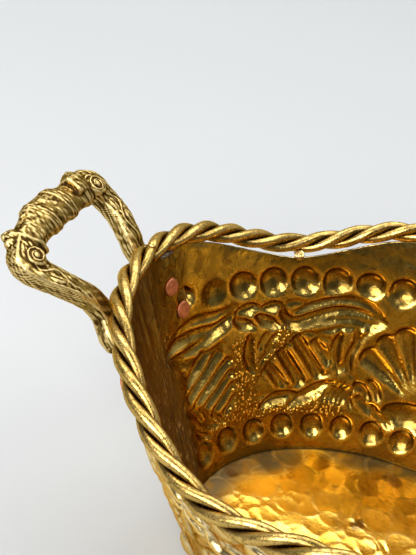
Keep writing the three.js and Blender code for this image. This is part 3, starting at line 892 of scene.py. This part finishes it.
def pad_frame(y):
    """Where a pad lies on the wall: its middle, then its across, up and outward directions."""
    z = (RIVET_LOW + RIVET_HIGH) / 2
    theta = np.float64(math.pi - math.asin(y / leaning(FOOT_B, RIM_B, z)))

    def wall_at(turn, rise):
        return wall_point(theta + turn, z + rise, SHEET / 2)

    up = unit(wall_at(0, 8) - wall_at(0, -8))
    out = unit(np.cross(unit(wall_at(0.05, 0) - wall_at(-0.05, 0)), up))
    return wall_at(0, 0), np.cross(up, out), up, out


PADS = {"rear": pad_frame(REAR_PAD_Y), "front": pad_frame(FRONT_PAD_Y)}


def leg_points(frame, side):
    middle, _, up, out = frame
    return [
        middle + 13.5 * up + 2.4 * out,
        middle + 18 * up + 4.6 * out,
        leg_point(-158.5, side * 24.5, 123),
        leg_point(-165, side * 26.1, 131.5),
        leg_point(-171.5, side * 30, 137.3),
        leg_point(-180, side * 33.4, 142.6),
        handle_point(9.5, side * 34.2, -0.8),
        handle_point(4.6, side * 31, -0.3),
        handle_point(2.0, side * 25.5, 0),
        handle_point(1.0, side * 18.5, 0),
    ]


def frames_along(path):
    along = unit(np.gradient(path, axis=0))
    side = unit(np.cross(PLANE, along))
    return along, side, np.cross(along, side)


def swept_block(path, widths, thicks, power=4.0, sides=40):
    """A closed bar along a path with a squarish rounded section."""
    _, side, top = frames_along(path)
    c, s = circle(sides)
    radius = (np.abs(c) ** power + np.abs(s) ** power) ** (-1 / power)
    a, b = widths[:, None] / 2 * radius * c, thicks[:, None] / 2 * radius * s
    return closed_skin(path[:, None] + a[..., None] * side[:, None] - b[..., None] * top[:, None])


def turned(profile, height, shift=0.0, sides=56):
    """A closed shape turned about the grip's bowed axis from (along, radius) pairs, flattened to height."""
    along, radius = np.asarray(profile, float).T[..., None]
    c, s = circle(sides)
    inward, above = radius * c, radius * s * height
    rings = along + (GRIP_LEAN - GRIP_FAN * along) * inward
    inward = inward + shift + 0.3 + GRIP_BOW * (along + GRIP_CREST) ** 2
    return closed_skin(handle_point(inward[..., None], rings[..., None], above[..., None]))


def grip_profile():
    along = np.linspace(-23, 23, 185)
    d = np.abs(along)
    radius = 9.1 - 1.9 * smoothstep(d, 6, 19)
    radius = radius + 0.35 * smoothstep(np.abs(d - RING_PAIR), 3.2, 2.4)
    for ring in RINGS:
        radius = radius + 0.45 * peak(d, RING_PAIR + ring, 0.5)
    return np.stack([along, radius], -1)


def collar_profile(side):
    pairs = [(20.6, 5.5), (21.0, 8.0), (21.8, 9.2), (22.9, 9.4), (23.9, 8.8), (24.6, 8.0),
             (25.4, 8.3), (26.6, 7.8), (28.0, 6.2), (29.0, 3.0)]
    if side < 0:
        return [(-a - 3.0, r) for a, r in pairs][::-1]
    return [(a, REAR_COLLAR_SIZE * r) for a, r in pairs]


def pad_block(frame):
    """A shield-shaped pad in its frame: rounded foot, slightly crowned face, fitted to the wall."""
    middle, across, up, out = frame
    half, shoulder = PAD_WIDTH / 2, PAD_UP - PAD_WIDTH / 2
    angles = np.linspace(math.pi, 2 * math.pi, 22)
    outline = [(half * math.cos(t), -PAD_DOWN + half + half * math.sin(t)) for t in angles]
    outline += [(half, y) for y in np.linspace(-4, shoulder, 12)]
    outline += [(LEG_WIDTH / 2 - 0.3, PAD_UP), (-LEG_WIDTH / 2 + 0.3, PAD_UP)]
    outline += [(-half, y) for y in np.linspace(shoulder, -4, 12)]
    centre = np.array([0, 1.0])
    back = [(0.02, 0), (0.5, 0), (1.0, 0)]
    face = [(1.0, PAD_THICK - 0.9), (0.95, PAD_THICK - 0.25)]
    face += [(share, PAD_THICK) for share in (0.88, 0.5, 0.02)]
    rings = []
    for share, height in back + face:
        p = centre + (np.array(outline) - centre) * share
        low = -0.1 - p[:, 0] ** 2 / 162
        h = height + low * (0.5 if height else 1.0)
        rings.append(middle + p[:, :1] * across + p[:, 1:] * up + h[:, None] * out)
    return closed_skin(rings)


def remeshed(name, parts, voxel):
    """One closed skin around overlapping closed parts, in mm."""
    groups, offset = [], 0
    for points, faces in parts:
        groups += [f + offset for f in faces]
        offset += len(points)
    raw = mesh_of(name + "_parts", np.concatenate([points for points, _ in parts]), groups)
    holder = placed(name + "_parts", raw)
    cover = holder.modifiers.new("skin", "REMESH")
    cover.mode = "VOXEL"
    cover.voxel_size = voxel * MM
    cover.use_smooth_shade = True
    bpy.context.view_layer.update()
    result = holder.evaluated_get(bpy.context.evaluated_depsgraph_get())
    mesh = bpy.data.meshes.new_from_object(result)
    bpy.data.objects.remove(holder)
    bpy.data.meshes.remove(raw)
    mesh.name = name
    return mesh


def read(items, key, kind=np.float32, width=3):
    values = np.empty(len(items) * width, kind)
    items.foreach_get(key, values)
    return values.reshape(-1, width)


def points_of(mesh):
    return read(mesh.vertices, "co").astype(float) / MM


def normals_of(mesh):
    return read(mesh.vertex_normals, "vector").astype(float)


def set_points(mesh, points):
    mesh.vertices.foreach_set("co", (points * MM).astype(np.float32).ravel())
    mesh.update()


def edge_table(mesh):
    """The mesh's edges as pairs of points, and how many edges each point has."""
    edges = read(mesh.edges, "vertices", np.int32, 2)
    return edges, np.maximum(np.bincount(edges.ravel(), minlength=len(mesh.vertices)), 1)


def relaxed(points, edges, counts, passes):
    """Moves each point half way to the mean of its neighbours, passes times."""
    for _ in range(passes):
        total = np.stack([
            np.bincount(edges[:, 0], points[edges[:, 1], k], len(points))
            + np.bincount(edges[:, 1], points[edges[:, 0], k], len(points))
            for k in range(3)
        ], -1)
        points = points + 0.5 * (total / counts[:, None] - points)
    return points


def mark_hollows(mesh, passes=8, depth=0.16):
    """Stores 0.5 on plain surface, more in grooves and less on raised edges."""
    points = points_of(mesh)
    smooth = relaxed(points, *edge_table(mesh), passes)
    inward = ((smooth - points) * normals_of(mesh)).sum(1) / depth
    attribute(mesh, "hollow", np.clip(0.5 + 0.5 * inward, 0, 1))


def local_to_path(points, path):
    """For each point: length along the path, sideways and upward distances from it, and how far it is."""
    along, side, top = frames_along(path)
    best = np.full(len(points), np.inf)
    index = np.zeros(len(points), int)
    for k in range(len(path)):
        d = ((points - path[k]) ** 2).sum(1)
        closer = d < best
        best[closer], index[closer] = d[closer], k
    away = points - path[index]
    a, b = (away * side[index]).sum(1), (away * top[index]).sum(1)
    return length_along(path)[index] + (away * along[index]).sum(1), a, b, np.sqrt(best)


def leg_widths(share):
    """The leg swells at its elbow, where the volute is, and narrows towards the pot."""
    elbow = (ELBOW_WIDTH - LEG_WIDTH) * peak(share, 0.72, 0.13)
    return LEG_WIDTH + elbow + 0.8 * smoothstep(share, 0.2, 0.4)


def ornament(points, normals, paths):
    """Height of the cast ornament at each point of the handle, in mm."""
    high = np.zeros(len(points))
    facing = normals @ PLANE
    for side, path in paths.items():
        l, a, b, far = local_to_path(points, path)
        share = l / length_along(path)[-1]
        half = leg_widths(share) / 2
        leg = smoothstep(far, 10.5, 8.5) * smoothstep(l, 20, 24)
        leg = leg * smoothstep(np.abs((points - handle_point(0, 0, 0)) @ ALONG), 27, 30)
        # raised ribs, vine and leaves on the upper face
        worn = 0.75 + 0.25 * noise2(l / 5 + 30, a / 4 + 30 + side, 73)
        rib = peak(np.abs(a) - half, -1.2, 0.62)
        vine = peak(a, 0.32 * half * np.sin(2 * np.pi * l / VINE_WAVE), 0.60)
        at = np.round((l - LEAF_START) / LEAF_STEP) * LEAF_STEP + LEAF_START
        du = l - at
        dv = a + 0.34 * half * np.sin(2 * np.pi * at / VINE_WAVE)
        leaf = np.clip(1 - (du / 3.9) ** 2 - (dv / 2.1) ** 2, 0, 1) ** 0.6
        leaf = leaf * (1 - 0.5 * peak(dv, 0.12 * du, 0.40))
        growth = (0.06 + 0.30 * smoothstep(share, 0.30, 0.50)) * np.maximum(vine, leaf * 1.3)
        high += leg * smoothstep(b, 2.4, 3.4) * worn * (0.45 * rib + growth - 0.12)
        # fine hatching on the flanks
        flank = leg * smoothstep(np.abs(a), half - 1.4, half - 0.6) * smoothstep(np.abs(b), 4.0, 3.0)
        hatch = np.sin(2 * np.pi * (l + 0.7 * b + 0.3 * noise2(l / 4, b / 2 + 9, 74)) / 1.35)
        high += 0.060 * flank * hatch
        # spiral and eye on the volute
        d = points - handle_point(VOLUTE_IN, side * VOLUTE_REACH, 0)
        p, q = d @ IN, (d @ ALONG) * side
        rho, phi = np.hypot(p, q), np.arctan2(q, p)
        disc = smoothstep(rho, 5.0, 4.2) * smoothstep(facing, 0.3, 0.7) * smoothstep(d @ PLANE, 0.0, 2.0)
        arm = (rho / 2.0 + phi / (2 * np.pi)) % 1 - 0.5
        spiral = np.cos(np.pi * np.clip(arm * 1.5, -0.5, 0.5)) ** 2
        eye = np.clip(1 - (rho / 1.6) ** 2, 0, 1) ** 0.6
        scroll = np.maximum(0.80 * spiral * smoothstep(rho, 1.2, 1.9) - 0.28, 0.85 * eye)
        high = high * (1 - disc) + disc * scroll
    return high


def end_scroll(side):
    """The beak that each collar carries on its outer side; the front one was left longer."""
    if side > 0:
        middle, radii = [(0.5, 21.5, 0.4), (-1.6, 25, 0.6), (-2.6, 28.5, 0.2)], [4.6, 4.4, 3.8, 2.4]
    else:
        middle = [(-1.6, -25.5, -0.4), (-4.8, -28.4, -0.6), (-7.2, -31.0, -0.8)]
        radii = [4.2, 3.4, 2.2, 0.9]
    beak = spline([handle_point(*place) for place in middle], 18)
    return tube(beak, np.interp(np.linspace(0, 1, len(beak)), [0, 0.4, 0.8, 1], radii), 24)


def volute_disc(side):
    stack = [(-5, 3.0), (-5, 5.0), (3.4, 5.4), (4.5, 5.0), (5.1, 4.1), (5.1, 1.6)]
    c, s = circle(40)
    around = c[:, None] * IN + s[:, None] * ALONG
    return closed_skin([
        handle_point(VOLUTE_IN, side * VOLUTE_REACH, height) + radius * around for height, radius in stack
    ])


def clear_of_wall(points, gap=0.15):
    """Moves any point that would lie in the wall or the pot out to the wall's outer face."""
    x, y, z = points.T
    theta = np.arctan2(y / leaning(FOOT_B, RIM_B, z), x / leaning(FOOT_A, RIM_A, z))
    outer = wall_point(theta, z, SHEET / 2 + gap)
    inside = np.hypot(x, y) < np.hypot(outer[:, 0], outer[:, 1])
    inside &= z < sheet_top(theta) + 1.5
    return np.where(inside[:, None], outer, points)


def build_handle():
    paths = {}
    parts = []
    for name, side in (("rear", 1), ("front", -1)):
        path = spline(leg_points(PADS[name], side), 150)
        paths[side] = path
        share = np.linspace(0, 1, len(path))
        thicks = LEG_THICK + 0.8 * smoothstep(share, 0.5, 0.7) + 3.0 * smoothstep(share, 0.82, 1.0)
        collar = turned(collar_profile(side), COLLAR_FLAT, REAR_COLLAR_SHIFT if side > 0 else 0.0)
        parts += [swept_block(path, leg_widths(share), thicks), pad_block(PADS[name]), collar]
        parts += [end_scroll(side), volute_disc(side)]
    parts.append(turned(grip_profile(), GRIP_FLAT))
    mesh = remeshed("cast_handle_left", parts, VOXEL)
    points = relaxed(points_of(mesh), *edge_table(mesh), 4)
    set_points(mesh, points)
    normals = normals_of(mesh)
    high = ornament(points, normals, paths)
    x, y, z = points.T
    lump = 0.20 * noise2(x / 3.1 + 80, y / 3.1 + z / 2.3 + 90, 71)
    lump += 0.15 * noise2(x / 1.1 + z / 1.3 + 300, y / 1.2 + 120, 72)
    on_pad = np.zeros(len(points))
    for middle, across, up, out in PADS.values():
        d = points - middle
        inside = (np.abs(d @ across) < 8.5) & (np.abs(d @ up) < 16) & (np.abs(d @ out) < 6.5)
        on_pad[inside] = 1
    points = points + normals * ((high + lump) * (1 - 0.85 * on_pad))[:, None]
    set_points(mesh, clear_of_wall(points))
    mark_hollows(mesh)
    return mesh


left_handle = build_handle()
add_piece(left_handle, CAST_BRASS, "handle_left")
right_handle = left_handle.copy()
right_handle.name = "cast_handle_right"
right_handle.transform(Matrix.Rotation(math.pi, 4, "Z"))
add_piece(right_handle, CAST_BRASS, "handle_right")


# ---- copper rivets ----

SHANK_R, HEAD_R, HEAD_THICK = 2.2, 4.6, 1.15
RIVET_SIDES = 48
HEAD_GAP = 0.12  # between a head and what it bears on


def rivet_mesh(name, frame, aside, rise, seed, half_turn):
    """Flat hammered heads inside and outside the pot, joined by a shank."""
    middle, across, up, out = frame
    inner = -(SHEET + DISPLAY_SHEET) / 2 - HEAD_GAP
    outer = PAD_THICK + HEAD_GAP
    low, top = inner - HEAD_THICK, outer + HEAD_THICK
    profile = [(0.0, low), (0.35, low), (0.75, low + 0.03), (0.93, low + 0.16)]
    profile += [(1.0, inner - 0.55), (0.97, inner - 0.08), (0.9, inner), (None, inner), (None, outer)]
    profile += [(0.9, outer), (0.98, outer + 0.1), (1.0, outer + 0.6), (0.93, top - 0.16)]
    profile += [(0.75, top - 0.03), (0.35, top), (0.0, top)]
    c, s = circle(RIVET_SIDES)
    angle = 2 * np.pi * np.arange(RIVET_SIDES) / RIVET_SIDES
    draw = np.random.default_rng(seed)
    waves = [draw.uniform(-0.022, 0.022) * np.cos(k * angle + draw.uniform(0, 6)) for k in range(2, 7)]
    wobble = 1 + sum(waves)
    rings = []
    for share, height in profile:  # share of the head's radius, or None on the shank
        radius = np.full(RIVET_SIDES, SHANK_R) if share is None else HEAD_R * max(share, 0.004) * wobble
        x, y = radius * c, radius * s
        if share is not None and abs(height - (outer if height > 0 else inner)) > 0.5:
            dent = 0.10 * noise2(x / 1.8 + 50 + seed, y / 1.8 + 50, 80 + seed)
            height = height + math.copysign(1, height) * dent
        x, y, height = (value[:, None] for value in (x + aside, y + rise, height + 0 * x))
        rings.append(middle + x * across + y * up + height * out)
    rings = np.stack(rings)
    return mesh_of(name, *closed_skin(half_turned(rings) if half_turn else rings))


# Half the distance between a leg's two rivets, up the sloping wall.
RISE = (RIVET_HIGH - RIVET_LOW) / 2 / PADS["rear"][2][2]
LEGS = [(end, pad) for end in ("left", "right") for pad in PADS]
PLACES = [(end, pad, level) for end, pad in LEGS for level in ("lower", "upper")]
for seed, (end, pad, level) in enumerate(PLACES, 1):
    sign = 1 if level == "upper" else -1
    aside = sign * RIVET_SPLAY * (1 if pad == "rear" else -1)
    node = f"rivet_{end}_{pad}_{level}"
    rivet = rivet_mesh("copper_" + node, PADS[pad], aside, sign * RISE, seed, end == "right")
    add_piece(rivet, COPPER, node)


# ---- solder ----

LUMP = (4.9, 1.35, 1.6)  # half sizes along the rim, inward and up
LUMP_ROWS, LUMP_SIDES = 22, 36
LUMP_THETA = math.radians(163)


def build_solder(end, pad, seed):
    theta = LUMP_THETA * (1 if pad == "rear" else -1)
    place = wall_point(np.float64(theta), sheet_top(theta) - 1.2, -SHEET / 2 - 1.3)
    along = unit([-RIM_A * math.sin(theta), RIM_B * math.cos(theta), 0])
    inward = np.cross(along, [0, 0, 1])
    v = np.linspace(0.06, math.pi - 0.06, LUMP_ROWS)[:, None]
    cu, su = circle(LUMP_SIDES)
    a, b, c = np.cos(v) + 0 * cu, np.sin(v) * cu, -np.sin(v) * su
    rough = 1 + 0.26 * noise2(a * 3.2 + 20, b * 2.6 + c * 2.1 + 20, 90 + seed)
    rough = rough + 0.10 * noise2(a * 9 + 40, b * 6 + c * 7 + 40, 95 + seed)
    points = place
    for share, size, direction in zip((a, b, c), LUMP, (along, inward, np.array([0, 0, 1]))):
        points = points + (rough * share * size)[..., None] * direction
    if end == "right":
        points = half_turned(points)
    mesh = mesh_of(f"solder_{end}_{pad}", *closed_skin(points))
    add_piece(mesh, SOLDER, f"rim_solder_{end}_{pad}")


for number, (end, pad) in enumerate(LEGS):
    build_solder(end, pad, number)


# ---- floor, light and camera ----

FLOOR_REACH, FLOOR_GAP = 3500, 0.4  # mm

# The lights, in metres and watts: name, place, target, size, power.
LIGHTS = [
    ("key", (-1.1, 0.9, 2.3), (0, 0, 0.08), (1.3, 1.3), 18),
    ("top", (0.9, 0.1, 2.1), (0, 0, 0.05), (1.2, 0.8), 10),
    ("front", (-0.5, -1.7, 1.6), (0, 0, 0.08), (2.0, 1.3), 50),
    ("back", (0.3, 1.55, 1.95), (0, 0, 0.05), (1.5, 0.9), 13),
    ("fill", (-1.2, -1.3, 1.5), (-0.2, -0.3, 0.0), (1.5, 1.2), 9),
]

CAMERA_PLACE = (-0.0794, -0.3470, 0.4131)
YAW, PITCH, ROLL = -0.1164, 0.6538, 0.2379  # radians: to the left, down, and over to the left
LENS = 65.34
SKY_DARK, SKY_LIGHT = 0.10, 0.50


def build_floor():
    n = Nodes("studio_floor")
    darker, lighter = (0.498, 0.508, 0.515), (0.518, 0.528, 0.535)
    n.finish(n.mix(n.noise(3, 2, 0.5), darker, lighter), 0.75, metallic=0.0)
    side = np.linspace(-FLOOR_REACH, FLOOR_REACH, 15)
    x, y = np.meshgrid(side, side, indexing="ij")
    points = np.stack([x, y, 0 * x - FLOOR_GAP], -1)
    mesh = mesh_of("floor", points, [grid_faces(len(side), len(side))])
    mesh.materials.append(n.material)
    placed("floor", mesh)


def area_light(name, place, target, size, power):
    data = bpy.data.lights.new(name, "AREA")
    data.shape = "RECTANGLE"
    data.size, data.size_y = size
    data.energy = power
    light = placed(name, data)
    light.location = place
    light.rotation_euler = (Vector(target) - Vector(place)).to_track_quat("-Z", "Y").to_euler()


def build_world():
    """A plain sky that grows lighter towards the back."""
    world = bpy.data.worlds.new("studio")
    bpy.context.scene.world = world
    world.use_nodes = True
    tree = world.node_tree
    sky = tree.nodes["Background"]
    coords = tree.nodes.new("ShaderNodeTexCoord")
    split = tree.nodes.new("ShaderNodeSeparateXYZ")
    lift = tree.nodes.new("ShaderNodeMapRange")
    lift.interpolation_type = "SMOOTHSTEP"
    for key, number in (("From Min", -0.6), ("From Max", 0.7), ("To Min", SKY_DARK), ("To Max", SKY_LIGHT)):
        lift.inputs[key].default_value = number
    tree.links.new(coords.outputs["Generated"], split.inputs[0])
    tree.links.new(split.outputs["Y"], lift.inputs["Value"])
    tree.links.new(lift.outputs["Result"], sky.inputs["Strength"])
    sky.inputs["Color"].default_value = (0.97, 0.99, 1.0, 1)


def build_camera():
    data = bpy.data.cameras.new("camera")
    data.sensor_fit = "AUTO"
    data.sensor_width = 36.0
    data.lens = LENS
    data.dof.use_dof = False
    camera = placed("camera", data)
    level = math.cos(PITCH)
    ahead = Vector((math.sin(YAW) * level, math.cos(YAW) * level, -math.sin(PITCH)))
    right = Vector((math.cos(YAW), -math.sin(YAW), 0))
    up = right.cross(ahead)
    across = math.cos(ROLL) * right + math.sin(ROLL) * up
    upward = -math.sin(ROLL) * right + math.cos(ROLL) * up
    facing = Matrix((across, upward, -ahead)).transposed().to_4x4()
    camera.matrix_world = Matrix.Translation(CAMERA_PLACE) @ facing
    bpy.context.scene.camera = camera


build_floor()
build_world()
for light in LIGHTS:
    area_light(*light)
build_camera()
bpy.context.scene.view_settings.view_transform = "Standard"
bpy.context.scene.view_settings.look = "Medium High Contrast"
